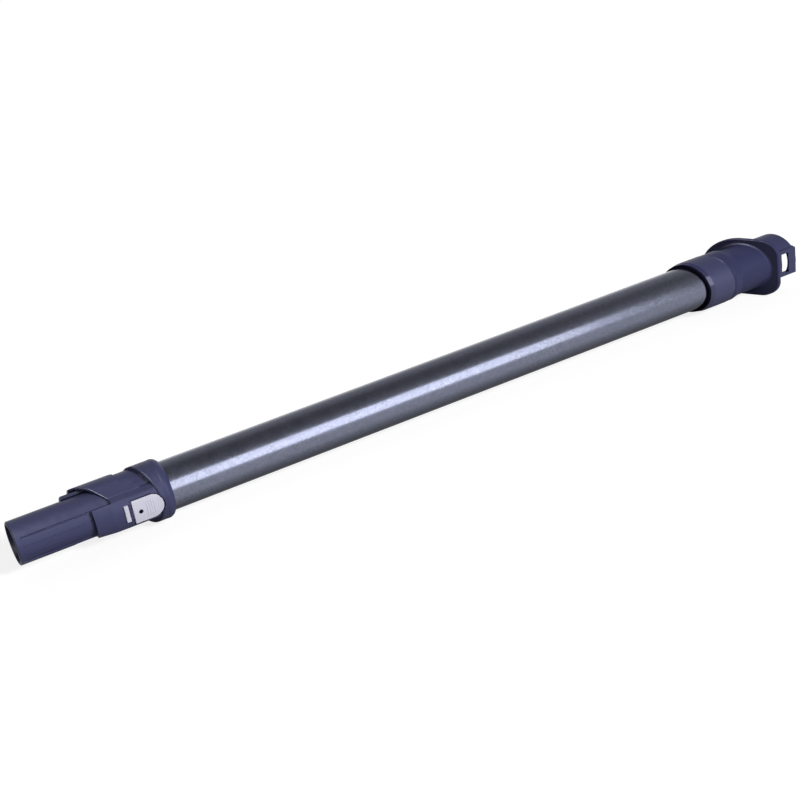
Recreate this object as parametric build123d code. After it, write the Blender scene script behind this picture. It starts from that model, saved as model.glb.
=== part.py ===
from build123d import *
import os
from math import cos, degrees, radians, sin, sqrt

# Wand of a cordless stick vacuum cleaner, lying on one flat side of its flange.
# Every piece is modelled with the tube's axis on X, the mouth of the lower spigot at X = 0 and the
# release button facing -Y (the front). The whole wand is moved to its resting place when it is written.

# Driving dimensions, in millimetres and degrees. A "rise" is a height over the tube or the spigot and a
# "back" is a distance before the spigot's flange, so that the fittings follow when those sizes change.
slip = 0.05                     # clearance of glued and pushed joints

# Tube
tube_radius = 20.0
tube_wall = 1.0
tube_length = 520.5
gasket_thickness = 0.8

# Lower spigot, which the floor head slides over
spigot_step = 2.7               # the spigot is this much smaller than the tube
spigot_wall = 2.0
spigot_length = 111.5           # mouth to flange
spigot_flange = 4.7             # length of the flange that stops the tube
spigot_plug = 33.0              # length inside the tube
seat_rise = 0.2                 # the seat of the floor head stands out a little from the spigot
seat_back = 67.8
mouth_chamfer = 0.7
panel_depth = 0.5               # sunk guide panels on the spigot
panel_start = 5.0
panel_back = 41.5
panel_angles = (11.5, 38.0)     # from the front, on both sides

# Lower shell: eccentric hood, lobe over the latch, button frame and collar (rises are over the spigot)
hood_rise = 4.8
hood_offset = 3.4               # the hood's centre lies this far behind the tube's axis
hood_wall = 2.0
hood_mouth_back = 47.0          # where the slanted front edge crosses the axis
hood_mouth_angle = 38.0
hood_mouth_edge = 0.7
hood_recess = 7.0               # depth of the gap behind the front edge
hood_gap = 1.2                  # least width of that gap
hood_tip_back = 59.0            # the hood is cut off square here at the back
hood_step_back = 24.2           # its top and back end here, and only its flanks go on
hood_step_depth = 2.6           # the flanks begin this far in front of the axis
hood_rear_back = 18.5           # slanted rear end of the flanks
hood_rear_angle = 31.0
flank_round = 8.0               # rounded corner at that end
flank_angle = 60.0              # direction of the flat flanks, from the front
flank_rise = 2.2
lower_neck_rise = 2.9           # neck between hood and collar
lower_neck_offset = 4.8
lower_neck_wall = 0.9           # least wall over the spigot
collar_rise = 4.0               # over the tube
collar_back = 7.5
collar_angle = 19.5
collar_overlap = 6.5            # how far the collar covers the tube
collar_nose = 7.0               # length of its rounded end
collar_lip = 0.6                # thickness left at the end of the nose
collar_bevel = 0.6
lobe_rise = 5.2
lobe_mouth_rise = 4.0           # the lobe tapers towards its mouth
lobe_taper = 14.0
lobe_wall = 1.3
lobe_back = 51.5
lobe_half_angle = 35.5
lobe_side_angle = 4.0           # thickness of the lobe's side walls, as an angle
lobe_edge = 1.0
frame_back = 36.0
frame_rim = 2.8                 # width of the frame beside the button
frame_edge_rise = 1.6           # where the sloping sides are one rim wider than the button
frame_foot = 14.6               # half width of the frame at its foot
frame_foot_drop = 3.4
frame_shoulder = 3.0            # rounding of the frame's long edges
stop_rise = 2.6                 # crossbar of the frame that stops the lever
stop_thickness = 1.2

# Release lever (rises are over the spigot)
button_back = 22.0
button_length = 24.8
button_half_width = 9.8
button_rise = 5.2
button_thickness = 1.8
button_crown = 60.0             # radius of the button's crowned top
button_edge = 0.5
button_gap = 0.6
bar_width = 3.6                 # hinge barrel, seen as a bar beside the button
bar_half_length = 7.0
bar_shift = 0.8                 # the bar sits this much above the button's middle
bar_rise = 4.8
bar_edge = 0.6
bar_groove = 2.8                # groove between bar and button
web_overlap = 2.0               # how far the web reaches under the button
web_rise = 0.9
web_thickness = 1.2
pivot_rise = 1.8
pin_radius = 0.8
pin_play = 0.05
pin_half_length = 10.0
barrel_radius = 1.6
arm_rise = 0.5
arm_thickness = 0.9
arm_half_width = 3.4
arm_back = 49.5
arm_room = 1.7                  # space above the arm for its swing
claw_depth = 0.2
claw_length = 2.4
spring_back = 5.5
spring_radius = 2.4
spring_wire = 0.25
spring_turns = 3.0
stud_radius = 1.5               # stud under the button that centres the spring
stud_length = 0.8

# Leads, conduit and connectors, all along the back
lead_radius = 0.7
lead_sink = 1.65                # depth of the leads under the tube's bore
lead_spacing = 5.2
wiring_half_width = 4.5
conduit_wall = 0.9
conduit_depth = 3.8
conduit_skin = 0.5
conduit_gap = 0.3
outlet_back = 67.0
outlet_rear_back = 25.5
outlet_rise = 0.4
outlet_thickness = 3.2
outlet_half_angle = 61.0
outlet_edge = 1.2
outlet_seat_back = 27.5         # bottom of the space round the outlet
outlet_space = 1.3              # space round the outlet for the mating socket
sleeve_rise = 1.9
sleeve_radius = 1.2
sleeve_bore = 0.8
sleeve_length = 24.0
tail_thickness = 0.8
inlet_front = 46.0              # these two are measured from the end of the tube
inlet_rear = 64.0
inlet_below = 3.35              # reach of the inlet below and above the leads
inlet_above = 1.15
inlet_half_width = 6.5
inlet_pin_radius = 0.8
inlet_pin_length = 26.5

# Upper end, measured from the end of the tube (rises are over the tube)
upper_plug = 31.5               # length of the upper spigot inside the tube
upper_collar_rise = 3.4
upper_collar_front = -13.8
upper_collar_angle = 21.8
lip_depth = 3.0                 # depth of the groove that holds the seal
lip_gap = 2.2
lip_bevel = 0.9                 # sloping front rim of the collar
lip_bevel_length = 3.6
seal_reach = 2.2                # how far the black seal stands out of the collar
seam_place = 11.0
seam_angle = 24.0
seam_bevel = 0.5
neck_rise = 1.3
neck_shoulder_rise = 3.1
neck_shoulder = 23.5
neck_waist = 31.0
flange_place = 49.3
flange_angle = 32.0
flange_thickness = 3.4
flange_side_rise = 7.0
flange_front_rise = 6.5
flange_front_corner = 15.0
flange_side_end = 3.0           # the straight sides end this far behind the axis
flange_flank = 32.5             # radius of the flanks behind the straight sides
flange_tip = 14.0               # radius of the back end
flange_edge = 0.9
flange_fillet = 2.6
rear_rise = 0.8
rear_wall = 2.0
rear_end = 84.5                 # where the slanted rear rim crosses the axis
rear_angle = 18.0
rear_funnel = 67.0
rear_funnel_length = 7.0
boss_front = 68.0               # flat boss with the latch window
boss_end = 91.0
boss_sink = 0.4
boss_half_width = 12.5
boss_edge = 1.0
window_front = 75.5
window_length = 7.5
window_half_width = 9.5

# Self-tapping screws at the back
screw_radius = 1.0
screw_length = 6.5
screw_head_radius = 2.1
screw_sink = 0.2
screw_play = 0.08
screw_angle = 140.0
screw_cross = 2.4               # length and depth of the cross recess
screw_recess = 0.5
upper_screw_place = -13.0

# Radii and heights that follow from the driving dimensions
tube_bore = tube_radius - tube_wall
plug_radius = tube_bore - slip
spigot_radius = tube_radius - spigot_step
seat_radius = spigot_radius + seat_rise
airway_radius = spigot_radius - spigot_wall
hood_radius = spigot_radius + hood_rise
flank_height = spigot_radius + flank_rise
lower_neck_radius = spigot_radius + lower_neck_rise
collar_radius = tube_radius + collar_rise
lobe_radius = spigot_radius + lobe_rise
lobe_mouth_radius = spigot_radius + lobe_mouth_rise
frame_edge_height = spigot_radius + frame_edge_rise
frame_foot_height = spigot_radius - frame_foot_drop
stop_bottom = spigot_radius + stop_rise
button_top = spigot_radius + button_rise
button_bottom = button_top - button_thickness
bar_top = spigot_radius + bar_rise
web_bottom = spigot_radius + web_rise
pivot_height = spigot_radius + pivot_rise
arm_bottom = spigot_radius + arm_rise
arm_top = arm_bottom + arm_thickness
outlet_bottom = spigot_radius + outlet_rise
outlet_top = outlet_bottom + outlet_thickness
sleeve_height = spigot_radius + sleeve_rise
lead_height = tube_bore - lead_sink
wiring_flat = lead_height - lead_radius - slip
conduit_chord = tube_bore - conduit_depth
inlet_bottom = lead_height - inlet_below
inlet_top = lead_height + inlet_above
upper_collar_radius = tube_radius + upper_collar_rise
neck_radius = tube_radius + neck_rise
neck_shoulder_radius = tube_radius + neck_shoulder_rise
rear_radius = tube_radius + rear_rise
boss_height = rear_radius - boss_sink
flange_half_width = tube_radius + flange_side_rise
flange_front = tube_radius + flange_front_rise
flank_centre = flange_flank - flange_half_width
flange_back = flange_side_end + sqrt((flange_flank - flange_tip) ** 2 - flank_centre ** 2) + flange_tip
half_spacing = lead_spacing / 2
reach = 4 * flange_back         # larger than any cross section

# Places along the axis that follow from the driving dimensions
seat_end = spigot_length - seat_back
panel_end = spigot_length - panel_back
hood_mouth = spigot_length - hood_mouth_back
hood_tip = spigot_length - hood_tip_back
hood_step = spigot_length - hood_step_back
hood_rear = spigot_length - hood_rear_back
collar_front = spigot_length - collar_back
lobe_front = spigot_length - lobe_back
frame_front = spigot_length - frame_back
button_front = spigot_length - button_back
button_centre = button_front + button_length - button_half_width
pivot = button_front - bar_groove - bar_width / 2
lobe_end = pivot - bar_width / 2 - button_gap
arm_tip = spigot_length - arm_back
spring_place = spigot_length - spring_back
outlet_front = spigot_length - outlet_back
outlet_rear = spigot_length - outlet_rear_back
outlet_seat = spigot_length - outlet_seat_back
flange_stop = spigot_length + spigot_flange
lower_screw_place = spigot_length + spigot_flange / 2
tube_start = flange_stop + gasket_thickness
tube_end = tube_start + tube_length
collar_end = tube_start + collar_overlap
lead_start = outlet_rear + slip + tail_thickness
lead_end = tube_end + inlet_front
rim = tube_end + boss_end

CENTRE = Align.CENTER
MIN = Align.MIN
MAX = Align.MAX


def turned(*corners):
    """Solid turned about the tube's axis from corners given as (place, radius)."""
    return revolve(make_face(Polyline(*corners, close=True)), Axis.X)


def rod(radius, start, end, y=0.0, z=0.0):
    """Cylinder along the tube's axis."""
    return Pos(start, y, z) * Rot(0, 90, 0) * Cylinder(radius, end - start, align=(CENTRE, CENTRE, MIN))


def block(x_span, y_span, z_span):
    """Box between two corners, given as spans along X, Y and Z."""
    spans = (x_span, y_span, z_span)
    sizes = [high - low for low, high in spans]
    return Pos(*[low for low, high in spans]) * Box(*sizes, align=(MIN, MIN, MIN))


def slanted(place, angle):
    """Plane that crosses the axis at place and leans so that its front side lies further along +X."""
    lean = radians(angle)
    return Plane(origin=(place, 0, 0), x_dir=(0, 0, 1), z_dir=(cos(lean), sin(lean), 0))


def right_of(shape, plane):
    """What lies on the +X side of a slanted plane."""
    return split(shape, bisect_by=plane, keep=Keep.TOP)


def left_of(shape, plane):
    """What lies on the -X side of a slanted plane."""
    return split(shape, bisect_by=plane, keep=Keep.BOTTOM)


def lies_on(edge, plane):
    """Whether an edge starts on a plane."""
    return abs(plane.to_local_coords(edge @ 0).Z) < slip


def front_wedge(half_angle, start, end):
    """Sector about the axis that faces the front."""
    y = -reach * cos(radians(half_angle))
    z = reach * sin(radians(half_angle))
    outline = make_face(Polyline((0, 0), (y, z), (y, -z), close=True))
    return extrude(Plane.YZ.offset(start) * outline, end - start)


def button_outline(margin):
    """Outline of the button, straight at its front end and round at its rear end."""
    half = button_half_width + margin
    front = button_front - margin
    straight = button_centre - front
    body = Pos(front + straight / 2, 0) * Rectangle(straight, 2 * half)
    return body + Pos(button_centre, 0) * Circle(half)


def raised(outline, bottom, top):
    """Prism over an outline that faces the front, between two heights above the axis."""
    return extrude(Plane.XZ.offset(bottom) * outline, top - bottom)


def screw_axes():
    """Place, angle and seat radius of each screw."""
    places = ((lower_screw_place, collar_radius), (tube_end + upper_screw_place, upper_collar_radius))
    return [(place, angle, seat) for place, seat in places for angle in (-screw_angle, screw_angle)]


def screw_solid(play, recess):
    """Countersunk screw along -Z with its head at the origin, or the hole for it."""
    cone = screw_head_radius - screw_radius
    shank = Cylinder(screw_radius + play, screw_length, align=(CENTRE, CENTRE, MAX))
    head = Cone(screw_radius + play, screw_head_radius + play, cone, align=(CENTRE, CENTRE, MAX))
    screw = shank + head
    if not recess:
        return screw + Cylinder(screw_head_radius + play, 2 * screw_sink, align=(CENTRE, CENTRE, MIN))
    slot = Box(screw_cross, screw_recess, 2 * screw_recess)
    return screw - slot - Rot(0, 0, 90) * slot


def screws(play, recess):
    """All screws in place."""
    placed = []
    for place, angle, seat in screw_axes():
        at_front = Rot(90, 0, 0) * Pos(0, 0, seat - screw_sink) * screw_solid(play, recess)
        placed.append(Pos(place, 0, 0) * Rot(angle, 0, 0) * at_front)
    return placed


def wiring_passage(start, end):
    """Space cut off the back of a spigot by its flat."""
    return block((start, end), (wiring_flat, reach), (-wiring_half_width, wiring_half_width))


def build_main_tube():
    tube = rod(tube_radius, tube_start, tube_end) - rod(tube_bore, tube_start, tube_end)
    return tube - screws(screw_play, False)


def build_gasket(start):
    ring = rod(tube_radius, start, start + gasket_thickness)
    return ring - rod(tube_bore, start, start + gasket_thickness)


def build_lower_spigot():
    plug_end = tube_start + spigot_plug
    body = turned(
        (0, 0),
        (0, seat_radius - mouth_chamfer),
        (mouth_chamfer, seat_radius),
        (seat_end, seat_radius),
        (seat_end, spigot_radius),
        (spigot_length, spigot_radius),
        (spigot_length, tube_radius),
        (flange_stop, tube_radius),
        (flange_stop, plug_radius),
        (plug_end, plug_radius),
        (plug_end, 0),
    )
    lever_notch = raised(button_outline(button_gap), spigot_radius, reach)
    funnel = Pos(plug_end, 0, 0) * Rot(0, 90, 0) * Cone(
        airway_radius, plug_radius - tube_wall, spigot_plug / 2, align=(CENTRE, CENTRE, MAX)
    )
    body = body - lever_notch - rod(airway_radius, 0, plug_end) - funnel
    body = body - wiring_passage(outlet_rear - tail_thickness, plug_end)
    inner, outer = panel_angles
    floor = spigot_radius - panel_depth
    ring = rod(tube_radius, panel_start, panel_end) - rod(floor, panel_start, panel_end)
    sector = front_wedge((outer - inner) / 2, panel_start, panel_end)
    for side in (-1, 1):
        body = body - ring.intersect(Rot(side * (inner + outer) / 2, 0, 0) * sector)
    return body - screws(screw_play, False)


def back_sector(inner, outer, half_angle, start, end):
    """Sector of a ring that faces the back."""
    ring = rod(outer, start, end) - rod(inner, start, end)
    return ring.intersect(Rot(180, 0, 0) * front_wedge(half_angle, start, end)).solid()


def hood_sleeve():
    """Eccentric sleeve with a slanted mouth and flat flanks that reach further back than its top."""
    mouth = slanted(hood_mouth, hood_mouth_angle)
    sleeve = right_of(rod(hood_radius, hood_tip, collar_end, y=hood_offset), mouth)
    beyond_flank = block((0, collar_end), (-reach, -flank_height), (-reach, reach))
    for side in (-flank_angle, flank_angle):
        sleeve = sleeve - Rot(side, 0, 0) * beyond_flank
    front = [face for face in sleeve.faces() if lies_on(face.edges()[0], mouth)]
    sleeve = fillet(front[0].edges(), hood_mouth_edge)
    sleeve = left_of(sleeve, slanted(hood_rear, hood_rear_angle))
    sleeve = sleeve - block((hood_step, collar_end), (-hood_step_depth, reach), (-reach, reach))
    return fillet(sleeve.edges().filter_by(Axis.Z).sort_by(Axis.X)[-1], flank_round)


def lobe_cone(inset, end):
    """Round body of the lobe, tapered towards its mouth, or its inside."""
    return turned(
        (0, 0),
        (0, lobe_mouth_radius - inset),
        (lobe_front, lobe_mouth_radius - inset),
        (lobe_front + lobe_taper, lobe_radius - inset),
        (end, lobe_radius - inset),
        (end, 0),
    )


def lobe_body():
    """Lobe with rounded long edges."""
    lobe = lobe_cone(0, lobe_end).intersect(front_wedge(lobe_half_angle, lobe_front, lobe_end)).solid()
    sides = lobe.edges().filter_by(GeomType.LINE)
    long_edges = [edge for edge in sides if edge.center().Y < -frame_foot_height and edge.length > lobe_edge]
    long_edges = [edge for edge in long_edges if abs((edge % 0).X) > cos(radians(45))]
    return fillet(long_edges, lobe_edge)


def frame_body():
    """Frame round the button, with spreading sides and rounded shoulders."""
    half_rim = button_half_width + frame_rim
    side_slope = (frame_foot - half_rim) / (frame_edge_height - frame_foot_height)
    half_top = half_rim - side_slope * (lobe_radius - frame_edge_height)
    section = make_face(Polyline(
        (-lobe_radius, half_top),
        (-lobe_radius, -half_top),
        (-frame_foot_height, -frame_foot),
        (0, -frame_foot),
        (0, frame_foot),
        (-frame_foot_height, frame_foot),
        close=True,
    ))
    end = tube_start - collar_bevel
    frame = extrude(Plane.YZ.offset(frame_front) * section, end - frame_front)
    frame = frame.intersect(rod(lobe_radius, frame_front, end)).solid()
    return fillet(frame.edges().filter_by(Axis.X).sort_by(Axis.Y)[:2], frame_shoulder)


def build_lower_shell():
    neck = rod(lower_neck_radius, hood_step - hood_wall, tube_start, y=lower_neck_offset)
    neck = neck + rod(spigot_radius + lower_neck_wall, hood_step - hood_wall, tube_start)
    nose_start = collar_end - collar_nose
    nose_radius = tube_radius + collar_lip
    side = Polyline(
        (collar_end, nose_radius), (collar_end, 0), (0, 0), (0, collar_radius), (nose_start, collar_radius)
    )
    half_way = sin(radians(45))
    middle = (nose_start + collar_nose * half_way, nose_radius + (collar_radius - nose_radius) * half_way)
    nose = ThreePointArc((nose_start, collar_radius), middle, (collar_end, nose_radius))
    collar = revolve(make_face(side + nose), Axis.X)
    collar = right_of(collar, slanted(collar_front, collar_angle))
    collar = chamfer(collar.edges().filter_by(GeomType.ELLIPSE).sort_by(Axis.X)[0], collar_bevel)

    body = hood_sleeve() + neck + collar + lobe_body() + frame_body()

    gap = lobe_cone(lobe_wall, lobe_end)
    gap = gap.intersect(front_wedge(lobe_half_angle - lobe_side_angle, 0, lobe_end))
    arm_half = arm_half_width + button_gap
    relief = block((arm_tip - 2 * button_gap, lobe_end), (-arm_top - arm_room, 0), (-arm_half, arm_half))
    recess = rod(hood_radius - hood_wall, 0, spigot_length, y=hood_offset)
    recess = recess + rod(spigot_radius + hood_gap, 0, spigot_length)
    recess = left_of(recess, slanted(hood_mouth + hood_recess, hood_mouth_angle))
    space_angle = outlet_half_angle + degrees(outlet_space / outlet_top)
    space = back_sector(outlet_bottom, outlet_top + outlet_space, space_angle, 0, outlet_seat)
    outlet_pocket = back_sector(spigot_radius, outlet_top + slip, outlet_half_angle, 0, outlet_rear)
    channel = block((0, spigot_length), (0, outlet_top), (-wiring_half_width, wiring_half_width))
    bar_half = bar_half_length + button_gap
    bar_pocket = block((lobe_end, button_front), (-reach, 0), (bar_shift - bar_half, bar_shift + bar_half))
    button_pocket = raised(button_outline(button_gap), 0, reach)
    pin_hole = Pos(pivot, -pivot_height, pin_half_length) * Cylinder(
        pin_radius, reach, align=(CENTRE, CENTRE, MAX)
    )
    spigot_bore = rod(spigot_radius + slip, 0, spigot_length)
    tube_seat = rod(tube_radius + slip, spigot_length, collar_end)
    body = body - gap - relief - recess - space - outlet_pocket - channel
    body = body - bar_pocket - button_pocket - pin_hole - spigot_bore - tube_seat
    stop_half = bar_half + button_gap
    stop = block(
        (pivot + bar_width / 2 + button_gap, button_front - button_gap),
        (-stop_bottom - stop_thickness, -stop_bottom),
        (bar_shift - stop_half, bar_shift + stop_half),
    )
    stop = stop.intersect(rod(lobe_radius, lobe_end, button_front)).solid()
    return body + stop - screws(screw_play, False)


def build_release_lever():
    bar_front = pivot - bar_width / 2
    bar_rear = pivot + bar_width / 2
    crown = rod(button_crown, 0, tube_start, y=button_crown - button_top)
    button = raised(button_outline(0), button_bottom, button_top).intersect(crown).solid()
    button = fillet(button.faces().sort_by(Axis.Y)[0].edges(), button_edge)
    bar_span = (bar_shift - bar_half_length, bar_shift + bar_half_length)
    bar = block((bar_front, bar_rear), (-bar_top, -pivot_height), bar_span)
    bar = fillet(bar.faces().sort_by(Axis.Y)[0].edges(), bar_edge)
    barrel = Pos(pivot, -pivot_height, bar_shift) * Cylinder(barrel_radius, 2 * bar_half_length)
    web_half = bar_half_length - bar_shift
    web_end = button_front + web_overlap
    web = block((pivot, web_end), (-web_bottom - web_thickness, -web_bottom), (-web_half, web_half))
    skirt = block((button_front, web_end), (-button_bottom, -web_bottom), (-web_half, web_half))
    arm = block((arm_tip, pivot), (-arm_top, -arm_bottom), (-arm_half_width, arm_half_width))
    claw_outline = make_face(Polyline(
        (arm_tip, -arm_bottom),
        (arm_tip + claw_length, -arm_bottom),
        (arm_tip + claw_length, -arm_bottom + claw_depth),
        close=True,
    ))
    claw = extrude(Plane.XY.offset(-arm_half_width) * claw_outline, 2 * arm_half_width)
    stud = Pos(spring_place, -button_bottom, 0) * Rot(90, 0, 0) * Cylinder(stud_radius, 2 * stud_length)
    lever = button + skirt + bar + barrel + web + arm + claw + stud
    pin_hole = Pos(pivot, -pivot_height, 0) * Cylinder(pin_radius + pin_play, 4 * bar_half_length)
    return lever - pin_hole


def build_lever_pin():
    return Pos(pivot, -pivot_height, 0) * Cylinder(pin_radius, 2 * pin_half_length)


def build_lever_spring():
    floor = spigot_radius + slip
    height = button_bottom - floor - 2 * (spring_wire + slip)
    path = Helix(height / spring_turns, height, spring_radius)
    start = path @ 0
    section = Plane(origin=start, z_dir=path % 0) * Circle(spring_wire)
    coil = sweep(section, path=path)
    return Pos(spring_place, -floor - spring_wire - slip, 0) * Rot(90, 0, 0) * coil


def build_outlet_block():
    body = back_sector(outlet_bottom, outlet_top, outlet_half_angle, outlet_front, outlet_rear)
    body = fillet(body.edges().filter_by(Axis.X), outlet_edge)
    body = chamfer(body.faces().sort_by(Axis.X)[0].edges(), outlet_edge / 3)
    for z in (-half_spacing, half_spacing):
        body = body - rod(sleeve_radius, outlet_front, outlet_front + sleeve_length, sleeve_height, z)
        strip = block(
            (outlet_front + sleeve_length, outlet_rear),
            (sleeve_height - tail_thickness / 2, sleeve_height + tail_thickness / 2),
            (z - tail_thickness, z + tail_thickness),
        )
        body = body - strip
    return body


def build_outlet_sleeve(z):
    sleeve_end = outlet_front + sleeve_length
    sleeve = rod(sleeve_radius, outlet_front, sleeve_end, sleeve_height, z)
    sleeve = sleeve - rod(sleeve_bore, outlet_front, sleeve_end - tail_thickness, sleeve_height, z)
    strip = block(
        (sleeve_end, lead_start),
        (sleeve_height - tail_thickness / 2, sleeve_height + tail_thickness / 2),
        (z - tail_thickness, z + tail_thickness),
    )
    drop = block(
        (outlet_rear + slip, lead_start),
        (lead_height - lead_radius, sleeve_height),
        (z - tail_thickness, z + tail_thickness),
    )
    return sleeve + strip + drop


def build_lead(z):
    return rod(lead_radius, lead_start, lead_end, lead_height, z)


def build_wire_conduit():
    start = tube_start + spigot_plug + conduit_gap
    end = tube_end - upper_plug - conduit_gap
    outside = rod(plug_radius, start, end) - block((start, end), (-reach, conduit_chord), (-reach, reach))
    inner_chord = conduit_chord + conduit_wall
    inside = rod(plug_radius - conduit_skin, start, end)
    inside = inside - block((start, end), (-reach, inner_chord), (-reach, reach))
    return outside - inside


def build_upper_collar():
    start = tube_end + upper_collar_front
    shoulder = tube_end + gasket_thickness
    body = rod(upper_collar_radius, start - reach, rim)
    body = right_of(body, slanted(start, upper_collar_angle))
    body = left_of(body, slanted(tube_end + seam_place, seam_angle))
    front_rim, seam_rim = body.edges().filter_by(GeomType.ELLIPSE).sort_by(Axis.X)
    body = chamfer(seam_rim, seam_bevel)
    outside = body.faces().filter_by(GeomType.CYLINDER)[0]
    front_rim = body.edges().filter_by(GeomType.ELLIPSE).sort_by(Axis.X)[0]
    body = chamfer(front_rim, lip_bevel_length, lip_bevel, reference=outside)
    groove_end = slanted(start + lip_depth, upper_collar_angle)
    lip = left_of(rod(tube_radius + lip_gap, start - reach, rim), groove_end)
    body = body - lip - rod(tube_radius + slip, start - reach, shoulder) - rod(tube_bore, start, rim)
    return body - screws(screw_play, False)


def build_collar_seal():
    start = tube_end + upper_collar_front
    outer = tube_radius + lip_gap - slip
    ring = rod(outer, start - reach, rim) - rod(tube_radius + slip, start - reach, rim)
    ring = right_of(ring, slanted(start - seal_reach, upper_collar_angle))
    return left_of(ring, slanted(start + lip_depth, upper_collar_angle))


def flange_planes():
    """Front and rear face of the slanted flange."""
    face = slanted(tube_end + flange_place, flange_angle)
    return face, face.offset(flange_thickness)


def flange_outline():
    """Flange seen along the axis: straight sides, rounded front corners and an egg-shaped back."""
    length = flange_front + flange_side_end
    middle = (flange_side_end - flange_front) / 2
    sides = Pos(middle, 0) * Rectangle(length, 2 * flange_half_width)
    sides = fillet(sides.vertices().sort_by(Axis.X)[:2], flange_front_corner)
    back = Pos(flange_side_end + flange_flank / 2, 0) * Rectangle(flange_flank, 2 * flange_flank)
    for side in (-flank_centre, flank_centre):
        back = back & Pos(flange_side_end, side) * Circle(flange_flank)
    back = fillet(back.vertices().sort_by(Axis.X)[-1], flange_tip)
    return sides + back


def build_upper_housing():
    front_face, rear_face = flange_planes()
    seam = slanted(tube_end + seam_place, seam_angle)
    shoulder = tube_end + neck_shoulder
    waist = tube_end + neck_waist
    neck = turned(
        (tube_end - reach, 0),
        (tube_end - reach, neck_shoulder_radius),
        (shoulder, neck_shoulder_radius),
        (waist, neck_radius),
        (rim, neck_radius),
        (rim, 0),
    )
    neck = left_of(right_of(neck, seam), rear_face)
    neck = chamfer(neck.edges().filter_by(GeomType.ELLIPSE).sort_by(Axis.X)[0], seam_bevel)
    outline = flange_outline()
    plate = extrude(Plane.YZ.offset(tube_end - reach) * outline, 2 * reach)
    plate = left_of(right_of(plate, front_face), rear_face)
    faces = plate.faces().sort_by(SortBy.AREA)[-2:]
    plate = fillet(faces[0].edges() + faces[1].edges(), flange_edge)
    body = neck + plate
    root = [edge for edge in body.edges().filter_by(GeomType.ELLIPSE) if lies_on(edge, front_face)]
    body = fillet(root, flange_fillet)
    return body - rod(tube_bore, tube_end - reach, rim)


def build_upper_spigot():
    front_face, rear_face = flange_planes()
    plug_start = tube_end - upper_plug
    funnel_start = tube_end + rear_funnel
    funnel_end = funnel_start + rear_funnel_length
    rear_bore = rear_radius - rear_wall
    rear_rim = slanted(tube_end + rear_end, rear_angle)
    rear = left_of(right_of(rod(rear_radius, tube_end, rim), rear_face), rear_rim)
    boss = block((tube_end + boss_front, rim), (-boss_height, 0), (-boss_half_width, boss_half_width))
    boss = fillet(boss.faces().sort_by(Axis.Y)[0].edges().filter_by(Axis.X), boss_edge)
    body = rear + boss + rod(plug_radius, plug_start, funnel_end)
    airway = turned(
        (plug_start, 0),
        (plug_start, airway_radius),
        (funnel_start, airway_radius),
        (funnel_end, rear_bore),
        (rim, rear_bore),
        (rim, 0),
    )
    body = body - airway - wiring_passage(plug_start, lead_end)
    window_start = tube_end + window_front
    window_end = window_start + window_length
    body = body - block((window_start, window_end), (-reach, 0), (-window_half_width, window_half_width))
    half = inlet_half_width + slip
    body = body - block((lead_end, rim), (0, inlet_top + slip), (-half, half))
    return body - screws(screw_play, False)


def build_inlet_block():
    x_span = (lead_end + slip, tube_end + inlet_rear)
    body = block(x_span, (inlet_bottom, inlet_top), (-inlet_half_width, inlet_half_width))
    for z in (-half_spacing, half_spacing):
        body = body - rod(inlet_pin_radius, lead_end, rim, lead_height, z)
    return body


def build_inlet_pin(z):
    return rod(inlet_pin_radius, lead_end, lead_end + inlet_pin_length, lead_height, z)


nodes = {
    "main_tube": build_main_tube(),
    "lower_gasket": build_gasket(flange_stop),
    "upper_gasket": build_gasket(tube_end),
    "lower_spigot": build_lower_spigot(),
    "lower_shell": build_lower_shell(),
    "release_lever": build_release_lever(),
    "lever_pin": build_lever_pin(),
    "lever_spring": build_lever_spring(),
    "outlet_block": build_outlet_block(),
    "outlet_sleeve_upper": build_outlet_sleeve(half_spacing),
    "outlet_sleeve_lower": build_outlet_sleeve(-half_spacing),
    "wire_conduit": build_wire_conduit(),
    "lead_upper": build_lead(half_spacing),
    "lead_lower": build_lead(-half_spacing),
    "upper_collar": build_upper_collar(),
    "collar_seal": build_collar_seal(),
    "upper_housing": build_upper_housing(),
    "upper_spigot": build_upper_spigot(),
    "inlet_block": build_inlet_block(),
    "inlet_pin_upper": build_inlet_pin(half_spacing),
    "inlet_pin_lower": build_inlet_pin(-half_spacing),
    "fixing_screws": Compound(children=screws(0, True)),
}

# The wand rests on one flat side of its flange, with its origin below its middle
resting_place = Pos(-rim / 2, (flange_front - flange_back) / 2, flange_half_width)
os.makedirs("parts", exist_ok=True)
for name, shape in nodes.items():
    export_step(resting_place * shape, f"parts/{name}.step")
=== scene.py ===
from math import cos, radians, sin, sqrt, tan

import bmesh
import bpy
from mathutils import Matrix, Vector


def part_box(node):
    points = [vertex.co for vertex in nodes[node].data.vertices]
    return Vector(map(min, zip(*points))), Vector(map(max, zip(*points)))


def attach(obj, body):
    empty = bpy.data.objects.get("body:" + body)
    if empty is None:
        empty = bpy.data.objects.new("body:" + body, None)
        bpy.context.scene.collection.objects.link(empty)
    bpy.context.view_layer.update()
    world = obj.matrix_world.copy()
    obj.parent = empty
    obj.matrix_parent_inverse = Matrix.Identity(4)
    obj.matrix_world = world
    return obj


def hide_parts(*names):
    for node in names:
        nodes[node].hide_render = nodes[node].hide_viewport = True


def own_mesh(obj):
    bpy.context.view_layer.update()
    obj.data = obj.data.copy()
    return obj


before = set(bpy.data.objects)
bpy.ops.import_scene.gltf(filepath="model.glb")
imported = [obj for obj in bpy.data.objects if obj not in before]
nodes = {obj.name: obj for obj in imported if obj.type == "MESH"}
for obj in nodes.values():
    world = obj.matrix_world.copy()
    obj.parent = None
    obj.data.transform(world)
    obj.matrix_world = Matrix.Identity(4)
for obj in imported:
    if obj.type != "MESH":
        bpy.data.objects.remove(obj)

scene = bpy.context.scene
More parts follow.
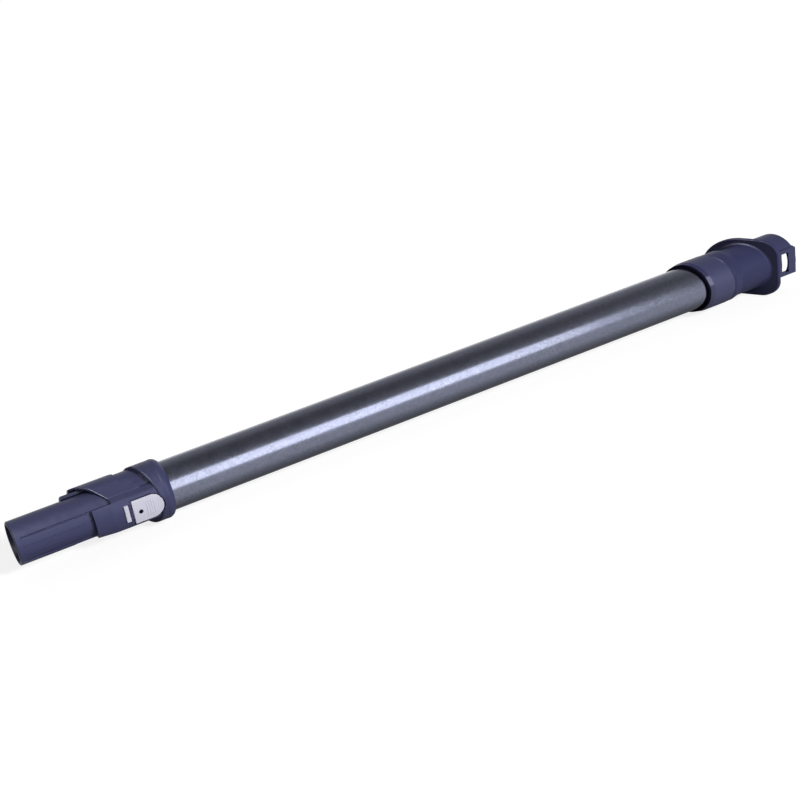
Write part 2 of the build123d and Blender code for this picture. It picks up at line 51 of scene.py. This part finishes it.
scene.view_settings.view_transform = "Standard"
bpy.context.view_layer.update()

# Places taken from the solids, in metres
tube_low, tube_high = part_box("main_tube")
axis = (tube_low + tube_high) / 2
tube_end = tube_high.x
spigot_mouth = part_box("lower_spigot")[0].x
lever_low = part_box("release_lever")[0]

# Button with its ribs, dot and spring: sizes in metres, places counted from the button's straight end
claw_to_button = 0.0275
button_end = lever_low.x + claw_to_button
button_top = lever_low.y
button_crown = 0.060
rib_count = 4
rib_spacing = 0.0019
rib_radius = 0.00045
rib_half_angle = radians(6.2)
rib_sink = 0.0002
first_rib = 0.0112
dot_place = 0.0058
dot_radius = 0.0018
dot_top_radius = 0.0017
dot_depth = 0.0005
dot_sink = 0.00017
dot_drop = 0.0004

# Glossy rim of the upper collar
rim_tilt = radians(21.8)
rim_place = tube_end - 0.0138
rim_width = 0.0036
rim_fade = 0.1 * rim_width
rim_polish = 0.3

# Grooves along the guide panels of the lower spigot
groove_start = spigot_mouth + 0.00525
groove_fade = 0.001
groove_angles = (radians(36), radians(-36))
groove_half_angle = radians(2.4)
groove_depth = 0.0006

# Lid behind the flange: radii round the wand's axis, and places along it
lid_half_width = 0.00445
lid_outer_radius = 0.02079
lid_inner_radius = 0.0194
lid_steps = 4
lid_rear = tube_end + 0.04595
flange_rear = tube_end + 0.05341
flange_tilt = radians(32)

# Texture scales of the finishes in cells per metre, and heights in metres
flake_scale = 2600.0
flake_height = 0.00002
tube_haze_scale = 90.0
flow_scale = 38.0
sheen_scale = 210.0
grain_scale = 2300.0
grain_height = 0.00004
metal_haze_scale = 400.0

# Tones as (dark, light), roughness as (low, high)
flake_tones = ((0.097, 0.107, 0.152), (0.209, 0.222, 0.298))
indigo_tones = ((0.041, 0.043, 0.106), (0.049, 0.051, 0.125))
# Painted shade: the housing is the same indigo plastic, set darker so that its flange face reads as shaded.
housing_painted_shade_tones = ((0.035, 0.037, 0.096), (0.042, 0.044, 0.114))
rocker_tones = ((0.65, 0.65, 0.77), (0.69, 0.69, 0.81))
seal_tones = ((0.005, 0.005, 0.012), (0.008, 0.008, 0.018))
connector_tones = ((0.018, 0.02, 0.05), (0.024, 0.026, 0.062))
conduit_tones = ((0.10, 0.10, 0.11), (0.13, 0.13, 0.14))
lead_red_tones = ((0.30, 0.012, 0.012), (0.36, 0.02, 0.02))
lead_black_tones = ((0.010, 0.010, 0.010), (0.016, 0.016, 0.016))
steel_tone = (0.56, 0.56, 0.58)
brass_tone = (0.72, 0.52, 0.22)
plain_tint = (1.0, 1.0, 1.0)
indigo_tint = (0.78, 0.8, 1.0)
tube_rough = (0.2, 0.26)
satin_rough = (0.38, 0.46)
smooth_rough = (0.4, 0.5)
connector_rough = (0.45, 0.55)
matt_rough = (0.5, 0.6)


# Helpers for objects and shader trees

def linked(name, data):
    """New object with its data, linked to the scene."""
    holder = bpy.data.objects.new(name, data)
    scene.collection.objects.link(holder)
    return holder


def grey(level):
    """Opaque grey of one level."""
    return (level, level, level, 1)


def new_finish(name):
    """A fresh material with its tree, its shader and a Texture Coordinate node."""
    finish = bpy.data.materials.new(name)
    finish.use_nodes = True
    tree = finish.node_tree
    return finish, tree, tree.nodes["Principled BSDF"], tree.nodes.new("ShaderNodeTexCoord")


def set_sockets(node, **values):
    """Set constants on a node's own sockets; underscores stand for spaces."""
    for key, value in values.items():
        node.inputs[key.replace("_", " ")].default_value = value


def noise_at(tree, coords, scale, detail=3.0):
    """Noise on Object coordinates."""
    noise = tree.nodes.new("ShaderNodeTexNoise")
    set_sockets(noise, Scale=scale, Detail=detail, Roughness=0.55)
    tree.links.new(coords.outputs["Object"], noise.inputs["Vector"])
    return noise.outputs["Fac"]


def spread(tree, source, low, high, from_low=0.3, from_high=0.7):
    """Map one span of values to another and hold the ends; noise mostly lies between the two defaults."""
    span = tree.nodes.new("ShaderNodeMapRange")
    set_sockets(span, From_Min=from_low, From_Max=from_high, To_Min=low, To_Max=high)
    tree.links.new(source, span.inputs["Value"])
    return span.outputs["Result"]


def calc(tree, operation, first, second=None):
    """Math node; the second value is an output or a number."""
    node = tree.nodes.new("ShaderNodeMath")
    node.operation = operation
    tree.links.new(first, node.inputs[0])
    if isinstance(second, float):
        node.inputs[1].default_value = second
    elif second is not None:
        tree.links.new(second, node.inputs[1])
    return node.outputs[0]


def split_axes(tree, vector):
    """The X, Y and Z outputs of a vector."""
    axes = tree.nodes.new("ShaderNodeSeparateXYZ")
    tree.links.new(vector, axes.inputs["Vector"])
    return axes.outputs["X"], axes.outputs["Y"], axes.outputs["Z"]


def blend(tree, factor, first, second):
    """Mix two colours by a factor; each is an output or three numbers."""
    mix = tree.nodes.new("ShaderNodeMix")
    mix.data_type = "RGBA"
    tree.links.new(factor, mix.inputs["Factor"])
    for label, colour in (("A", first), ("B", second)):
        if isinstance(colour, tuple):
            mix.inputs[label].default_value = (*colour, 1)
        else:
            tree.links.new(colour, mix.inputs[label])
    return mix.outputs["Result"]


def raise_bumps(tree, shader, height, distance, strength):
    """Bump from a height value, on top of the bumps that are there."""
    bump = tree.nodes.new("ShaderNodeBump")
    set_sockets(bump, Strength=strength, Distance=distance)
    tree.links.new(height, bump.inputs["Height"])
    surface = shader.inputs["Normal"]
    if surface.is_linked:
        tree.links.new(surface.links[0].from_socket, bump.inputs["Normal"])
    tree.links.new(bump.outputs["Normal"], surface)


# Finishes

def anodised_tube():
    """Dark blue-grey metal with fine flake under a clear coat."""
    finish, tree, shader, coords = new_finish("anodised_tube")
    flake = tree.nodes.new("ShaderNodeTexVoronoi")
    set_sockets(flake, Scale=flake_scale)
    tree.links.new(coords.outputs["Object"], flake.inputs["Vector"])
    tone = tree.nodes.new("ShaderNodeSeparateColor")
    tree.links.new(flake.outputs["Color"], tone.inputs["Color"])
    tree.links.new(blend(tree, tone.outputs["Red"], *flake_tones), shader.inputs["Base Color"])
    haze = noise_at(tree, coords, tube_haze_scale)
    tree.links.new(spread(tree, haze, *tube_rough), shader.inputs["Roughness"])
    raise_bumps(tree, shader, tone.outputs["Green"], flake_height, strength=0.1)
    set_sockets(shader, Metallic=0.98, Coat_Weight=0.35, Coat_Roughness=0.06)
    return finish


def satin_moulding(name, tones, rough, gloss=0.5, tint=plain_tint):
    """Moulded plastic or rubber with a fine spark-eroded grain and faint flow marks."""
    finish, tree, shader, coords = new_finish(name)
    set_sockets(shader, Specular_IOR_Level=gloss, Specular_Tint=(*tint, 1))
    flow = noise_at(tree, coords, flow_scale, detail=2.0)
    tree.links.new(blend(tree, flow, *tones), shader.inputs["Base Color"])
    sheen = noise_at(tree, coords, sheen_scale)
    tree.links.new(spread(tree, sheen, *rough), shader.inputs["Roughness"])
    grain = noise_at(tree, coords, grain_scale, detail=2.0)
    raise_bumps(tree, shader, grain, grain_height, strength=0.05)
    return finish


def polish_rim(finish):
    """Make the slanted rim of the upper collar glossy; the rest of the moulding stays satin."""
    tree = finish.node_tree
    roughness = tree.nodes["Principled BSDF"].inputs["Roughness"]
    coords = tree.nodes["Texture Coordinate"]
    rim_normal = Vector((cos(rim_tilt), sin(rim_tilt), 0))
    rim_depth = rim_normal.dot(Vector((rim_place, axis.y, 0)))
    depth = tree.nodes.new("ShaderNodeVectorMath")
    depth.operation = "DOT_PRODUCT"
    depth.inputs[1].default_value = rim_normal
    tree.links.new(coords.outputs["Object"], depth.inputs[0])
    satin = roughness.links[0].from_socket
    rim_back = rim_depth + rim_width
    polish = spread(tree, depth.outputs["Value"], rim_polish, 1.0, rim_back - rim_fade, rim_back)
    tree.links.new(calc(tree, "MULTIPLY", satin, polish), roughness)


def panel_edges(finish):
    """Shallow grooves along the lower spigot, each at an angle above the front."""
    tree = finish.node_tree
    shader = tree.nodes["Principled BSDF"]
    along, back, up = split_axes(tree, tree.nodes["Texture Coordinate"].outputs["Object"])
    front = calc(tree, "MULTIPLY", calc(tree, "SUBTRACT", back, axis.y), -1.0)
    above = calc(tree, "SUBTRACT", up, axis.z)
    angle = calc(tree, "ARCTAN2", above, front)
    mouth = spread(tree, along, 1.0, 0.0, groove_start - groove_fade, groove_start + groove_fade)
    for groove_angle in groove_angles:
        off_line = calc(tree, "ABSOLUTE", calc(tree, "SUBTRACT", angle, groove_angle))
        slope = spread(tree, off_line, 0.0, 1.0, 0.0, groove_half_angle)
        raise_bumps(tree, shader, calc(tree, "MAXIMUM", slope, mouth), groove_depth, strength=1.0)


def plain_metal(name, tone, roughness, haze_depth=0.2):
    """Bare metal with a slight haze in its tone and its roughness."""
    finish, tree, shader, coords = new_finish(name)
    haze = noise_at(tree, coords, metal_haze_scale)
    darker = tuple((1 - haze_depth) * channel for channel in tone)
    tree.links.new(blend(tree, haze, darker, tone), shader.inputs["Base Color"])
    hazy = spread(tree, haze, (1 - haze_depth) * roughness, (1 + haze_depth) * roughness)
    tree.links.new(hazy, shader.inputs["Roughness"])
    set_sockets(shader, Metallic=1.0)
    return finish


indigo = satin_moulding("indigo_moulding", indigo_tones, satin_rough, gloss=0.3, tint=indigo_tint)
indigo_collar = satin_moulding("indigo_collar", indigo_tones, satin_rough, gloss=0.5, tint=indigo_tint)
polish_rim(indigo_collar)
indigo_spigot = satin_moulding("indigo_spigot", indigo_tones, satin_rough, gloss=0.3, tint=indigo_tint)
panel_edges(indigo_spigot)
# Painted shade: a darker copy of the indigo moulding for the housing and its flange.
indigo_painted_shade_housing = satin_moulding("indigo_painted_shade_housing", housing_painted_shade_tones, satin_rough, gloss=0.18, tint=indigo_tint)
pale_grey = satin_moulding("rocker_grey", rocker_tones, smooth_rough)
seal_black = satin_moulding("seal_rubber", seal_tones, matt_rough, gloss=0.0)
connector_dark = satin_moulding(
    "connector_plastic", connector_tones, connector_rough, gloss=0.25, tint=indigo_tint
)
conduit_grey = satin_moulding("conduit_plastic", conduit_tones, matt_rough)
lead_red = satin_moulding("lead_red", lead_red_tones, smooth_rough)
lead_black = satin_moulding("lead_black", lead_black_tones, smooth_rough)
tube_finish = anodised_tube()
steel = plain_metal("plain_steel", steel_tone, roughness=0.3)
brass = plain_metal("contact_brass", brass_tone, roughness=0.25)

finish_of = {
    "main_tube": tube_finish,
    "lower_gasket": seal_black,
    "upper_gasket": seal_black,
    "collar_seal": seal_black,
    "lower_spigot": indigo_spigot,
    "lower_shell": indigo,
    "upper_collar": indigo_collar,
    "upper_housing": indigo_painted_shade_housing,
    "upper_spigot": indigo,
    "release_lever": pale_grey,
    "lever_pin": steel,
    "lever_spring": steel,
    "fixing_screws": steel,
    "outlet_block": connector_dark,
    "inlet_block": connector_dark,
    "outlet_sleeve_upper": brass,
    "outlet_sleeve_lower": brass,
    "inlet_pin_upper": brass,
    "inlet_pin_lower": brass,
    "wire_conduit": conduit_grey,
    "lead_upper": lead_red,
    "lead_lower": lead_black,
}
for name, finish in finish_of.items():
    slots = nodes[name].data.materials
    slots.clear()
    slots.append(finish)


# Pieces on and under the release button

def placed(name, mesh, body, finish):
    """Object made from a finished mesh that moves with a body."""
    piece = linked(name, mesh)
    if not mesh.materials:
        mesh.materials.append(finish)
    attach(piece, body)
    return piece


def grip_rib_tree():
    """Geometry Nodes: low round ribs across the crowned top of the button."""
    tree = bpy.data.node_groups.new("grip_ribs", "GeometryNodeTree")
    tree.interface.new_socket("Geometry", in_out="OUTPUT", socket_type="NodeSocketGeometry")
    kinds = {
        "Count": "NodeSocketInt",
        "Spacing": "NodeSocketFloat",
        "Half Angle": "NodeSocketFloat",
        "Crown Radius": "NodeSocketFloat",
        "Rib Radius": "NodeSocketFloat",
        "First Rib": "NodeSocketVector",
        "Finish": "NodeSocketMaterial",
    }
    inputs = {}
    for label, kind in kinds.items():
        inputs[label] = tree.interface.new_socket(label, in_out="INPUT", socket_type=kind).identifier
    given = tree.nodes.new("NodeGroupInput").outputs
    half_turn = tree.nodes.new("ShaderNodeMath")
    half_turn.operation = "SUBTRACT"
    half_turn.inputs[0].default_value = radians(-90)
    tree.links.new(given["Half Angle"], half_turn.inputs[1])
    arc = tree.nodes.new("GeometryNodeCurveArc")
    arc.inputs["Resolution"].default_value = 17
    tree.links.new(given["Crown Radius"], arc.inputs["Radius"])
    tree.links.new(half_turn.outputs[0], arc.inputs["Start Angle"])
    tree.links.new(calc(tree, "MULTIPLY", given["Half Angle"], 2.0), arc.inputs["Sweep Angle"])
    section = tree.nodes.new("GeometryNodeCurvePrimitiveCircle")
    section.inputs["Resolution"].default_value = 10
    tree.links.new(given["Rib Radius"], section.inputs["Radius"])
    rib = tree.nodes.new("GeometryNodeCurveToMesh")
    rib.inputs["Fill Caps"].default_value = True
    tree.links.new(arc.outputs["Curve"], rib.inputs["Curve"])
    tree.links.new(section.outputs["Curve"], rib.inputs["Profile Curve"])
    upright = tree.nodes.new("GeometryNodeTransform")
    upright.inputs["Rotation"].default_value = (0, radians(-90), 0)
    tree.links.new(rib.outputs["Mesh"], upright.inputs["Geometry"])
    step = tree.nodes.new("ShaderNodeCombineXYZ")
    tree.links.new(given["Spacing"], step.inputs["X"])
    row = tree.nodes.new("GeometryNodeMeshLine")
    tree.links.new(given["Count"], row.inputs["Count"])
    tree.links.new(given["First Rib"], row.inputs["Start Location"])
    tree.links.new(step.outputs["Vector"], row.inputs["Offset"])
    repeat = tree.nodes.new("GeometryNodeInstanceOnPoints")
    tree.links.new(row.outputs["Mesh"], repeat.inputs["Points"])
    tree.links.new(upright.outputs["Geometry"], repeat.inputs["Instance"])
    whole = tree.nodes.new("GeometryNodeRealizeInstances")
    tree.links.new(repeat.outputs["Instances"], whole.inputs["Geometry"])
    dressed = tree.nodes.new("GeometryNodeSetMaterial")
    tree.links.new(whole.outputs["Geometry"], dressed.inputs["Geometry"])
    tree.links.new(given["Finish"], dressed.inputs["Material"])
    result = tree.nodes.new("NodeGroupOutput")
    tree.links.new(dressed.outputs["Geometry"], result.inputs["Geometry"])
    return tree, inputs


def grip_ribs(finish):
    """Ribs that keep the thumb from slipping off the button."""
    tree, inputs = grip_rib_tree()
    holder = linked("grip_rib_rule", bpy.data.meshes.new("grip_rib_rule"))
    rule = holder.modifiers.new("grip_ribs", "NODES")
    rule.node_group = tree
    sizes = {
        "Count": rib_count,
        "Spacing": rib_spacing,
        "Half Angle": rib_half_angle,
        "Crown Radius": button_crown,
        "Rib Radius": rib_radius,
        "First Rib": (button_end + first_rib, button_top + button_crown + rib_sink, axis.z),
        "Finish": finish,
    }
    for label, value in sizes.items():
        rule[inputs[label]] = value
    shaped = holder.evaluated_get(bpy.context.evaluated_depsgraph_get())
    mesh = bpy.data.meshes.new_from_object(shaped)
    bpy.data.objects.remove(holder)
    for face in mesh.polygons:
        face.use_smooth = True
    placed("button_ribs", mesh, "rocker", finish)


def position_dot(finish):
    """Dark round mark on the button, beside the ribs."""
    mesh = bpy.data.meshes.new("button_dot")
    place = Matrix.Translation((button_end + dot_place, button_top + dot_sink, axis.z - dot_drop))
    shape = bmesh.new()
    bmesh.ops.create_cone(
        shape, cap_ends=True, segments=40, radius1=dot_radius, radius2=dot_top_radius, depth=dot_depth,
        matrix=place @ Matrix.Rotation(radians(90), 4, "X"),
    )
    shape.to_mesh(mesh)
    shape.free()
    placed("button_dot", mesh, "rocker", finish)


def return_spring(finish):
    """Coil under the button, copied from the lever spring and held with the wand; the real coil shortens
    towards its foot as the button goes in.
    """
    coil = nodes["lever_spring"].data.copy()
    coil.name = "return_spring"
    spring = placed("return_spring", coil, "wand", finish)
    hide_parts("lever_spring")
    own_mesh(spring)


# Lid behind the flange

def passage_lid(finish):
    """Curved lid that closes the wiring passage behind the flange, flush with the upper spigot."""
    across = [lid_half_width * step / lid_steps for step in range(-lid_steps, lid_steps + 1)]
    section = [(sqrt(lid_outer_radius ** 2 - z ** 2), z) for z in across]
    section += [(sqrt(lid_inner_radius ** 2 - z ** 2), z) for z in reversed(across)]
    shape = bmesh.new()
    front = []
    rear = []
    for y, z in section:
        front.append(shape.verts.new((flange_rear - y * tan(flange_tilt), axis.y + y, axis.z + z)))
    for y, z in section:
        rear.append(shape.verts.new((lid_rear, axis.y + y, axis.z + z)))
    shape.faces.new(front)
    shape.faces.new(rear)
    for here in range(len(section)):
        after = (here + 1) % len(section)
        shape.faces.new((front[here], front[after], rear[after], rear[here]))
    bmesh.ops.recalc_face_normals(shape, faces=shape.faces)
    mesh = bpy.data.meshes.new("passage_lid")
    shape.to_mesh(mesh)
    shape.free()
    placed("passage_lid", mesh, "wand", finish)


grip_ribs(pale_grey)
position_dot(seal_black)
return_spring(steel)
passage_lid(indigo)


# Floor, light and camera

def ray_is(tree, *kinds):
    """1 for the named kinds of rays and 0 for the others."""
    path = tree.nodes.new("ShaderNodeLightPath")
    total = path.outputs[kinds[0]]
    for kind in kinds[1:]:
        total = calc(tree, "MAXIMUM", total, path.outputs[kind])
    return total


def pale_floor():
    """White floor with the wand's soft shadow; mirrored, it shows a painted shadow near the wand and painted
    shade past its mouth.
    """
    reach = 8.0
    white_strength = 0.81
    wand_reach = 0.33
    painted_shadow_within = 0.012
    painted_shadow_edge = 0.05
    mesh = bpy.data.meshes.new("floor")
    corners = [(-reach, -reach, 0), (reach, -reach, 0), (reach, reach, 0), (-reach, reach, 0)]
    mesh.from_pydata(corners, [], [(0, 1, 2, 3)])
    floor = linked("floor", mesh)
    finish, tree, shader, coords = new_finish("floor_white")
    set_sockets(shader, Base_Color=grey(0.3), Roughness=1.0, Specular_IOR_Level=0.0, Emission_Color=grey(1))
    along, back, _ = split_axes(tree, coords.outputs["Object"])
    # Painted shadow: close to the wand, the floor's glow is taken away for reflected rays alone, in place of
    # the wand's contact shadow.
    beside = calc(tree, "ABSOLUTE", calc(tree, "SUBTRACT", back, axis.y))
    beyond = calc(tree, "SUBTRACT", calc(tree, "ABSOLUTE", along), wand_reach)
    clear = spread(tree, calc(tree, "MAXIMUM", beside, beyond), 0.0, 1.0, painted_shadow_within, painted_shadow_edge)
    # Painted shade: past the spigot's mouth, the glow seen in reflections is dimmed to a tenth.
    painted_shade_past_mouth = spread(tree, along, low=0.1, high=1.0, from_low=-0.5, from_high=-wand_reach)
    painted_shade_mask = calc(tree, "MULTIPLY", clear, painted_shade_past_mouth)
    mirrored = calc(tree, "MULTIPLY", ray_is(tree, "Is Glossy Ray", "Is Transmission Ray"), painted_shade_mask)
    seen = calc(tree, "MAXIMUM", ray_is(tree, "Is Camera Ray"), mirrored)
    tree.links.new(calc(tree, "MULTIPLY", seen, white_strength), shader.inputs["Emission Strength"])
    mesh.materials.append(finish)


def studio_world():
    """White to the eye; mirrored, dim overhead and at both ends; as fill, stronger right and behind."""
    horizon_level = 1.0
    overhead_level = 0.12
    sky_levels = ((0.12, 0.8), (0.42, 0.5), (0.72, 0.42), (0.9, 0.2))
    world = bpy.data.worlds.new("studio")
    scene.world = world
    world.use_nodes = True
    tree = world.node_tree
    coords = tree.nodes.new("ShaderNodeTexCoord")
    along, back, up = split_axes(tree, coords.outputs["Generated"])
    ramp = tree.nodes.new("ShaderNodeValToRGB")
    stops = ramp.color_ramp.elements
    stops[0].color = grey(horizon_level)
    stops[1].color = grey(overhead_level)
    for height, level in sky_levels:
        stops.new(height).color = grey(level)
    tree.links.new(up, ramp.inputs["Fac"])
    left_flag = spread(tree, along, low=0.05, high=1.0, from_low=-0.7, from_high=0.1)
    right_flag = spread(tree, along, low=1.0, high=0.3, from_low=0.65, from_high=0.92)
    flags = calc(tree, "MULTIPLY", left_flag, right_flag)
    mirrored = calc(tree, "MULTIPLY", ramp.outputs["Color"], flags)
    side_fill = spread(tree, along, low=0.02, high=0.28, from_low=-0.9, from_high=0.9)
    back_fill = spread(tree, back, low=0.0, high=0.5, from_low=0.15, from_high=0.9)
    fill = calc(tree, "ADD", side_fill, back_fill)
    unseen = blend(tree, ray_is(tree, "Is Glossy Ray"), fill, mirrored)
    sky = blend(tree, ray_is(tree, "Is Camera Ray", "Is Transmission Ray"), unseen, (1, 1, 1))
    tree.links.new(sky, tree.nodes["Background"].inputs["Color"])


def softbox(name, place, aim, size, watts):
    """Rectangular area light, turned towards a point, that shows in reflections alone."""
    lamp = bpy.data.lights.new(name, "AREA")
    lamp.shape = "RECTANGLE"
    lamp.size, lamp.size_y = size
    lamp.energy = watts
    holder = linked(name, lamp)
    holder.location = place
    holder.rotation_euler = (Vector(aim) - Vector(place)).to_track_quat("-Z", "Y").to_euler()
    holder.visible_camera = False
    holder.visible_diffuse = False


def distant_lamp(name, towards, strength, degrees_wide):
    """Distant lamp that shines from one direction and leaves no glint."""
    lamp = bpy.data.lights.new(name, "SUN")
    lamp.energy = strength
    lamp.angle = radians(degrees_wide)
    holder = linked(name, lamp)
    holder.rotation_euler = Vector(towards).to_track_quat("Z", "Y").to_euler()
    holder.visible_glossy = False


def photo_camera():
    """Camera at the photograph's place and field of view, set out from the mouth of the lower spigot."""
    mouth_to_camera = Vector((-0.138, -1.0672, 0.608))
    right = Vector((0.87345, -0.46565, -0.14236)).normalized()
    ahead = Vector((0.35671, 0.81093, -0.46385)).normalized()
    lens = bpy.data.cameras.new("camera")
    lens.lens = 72.0
    lens.sensor_width = 36.0
    camera = linked("camera", lens)
    turn = Matrix((right, right.cross(ahead), -ahead)).transposed().to_4x4()
    turn.translation = Vector((spigot_mouth, axis.y, axis.z)) + mouth_to_camera
    camera.matrix_world = turn
    scene.camera = camera


pale_floor()
studio_world()
softbox("front_softbox", place=(0.443, -1.39, 0.59), aim=(0.443, 0.0, axis.z), size=(0.986, 1.0), watts=12.3)
softbox("edge_lamp", place=(-1.15, -0.5, 1.2), aim=(-0.25, 0.0, axis.z), size=(0.7, 0.5), watts=120.0)
distant_lamp("key_lamp", towards=(0.42, -0.74, 0.525), strength=2.75, degrees_wide=12.0)
photo_camera()
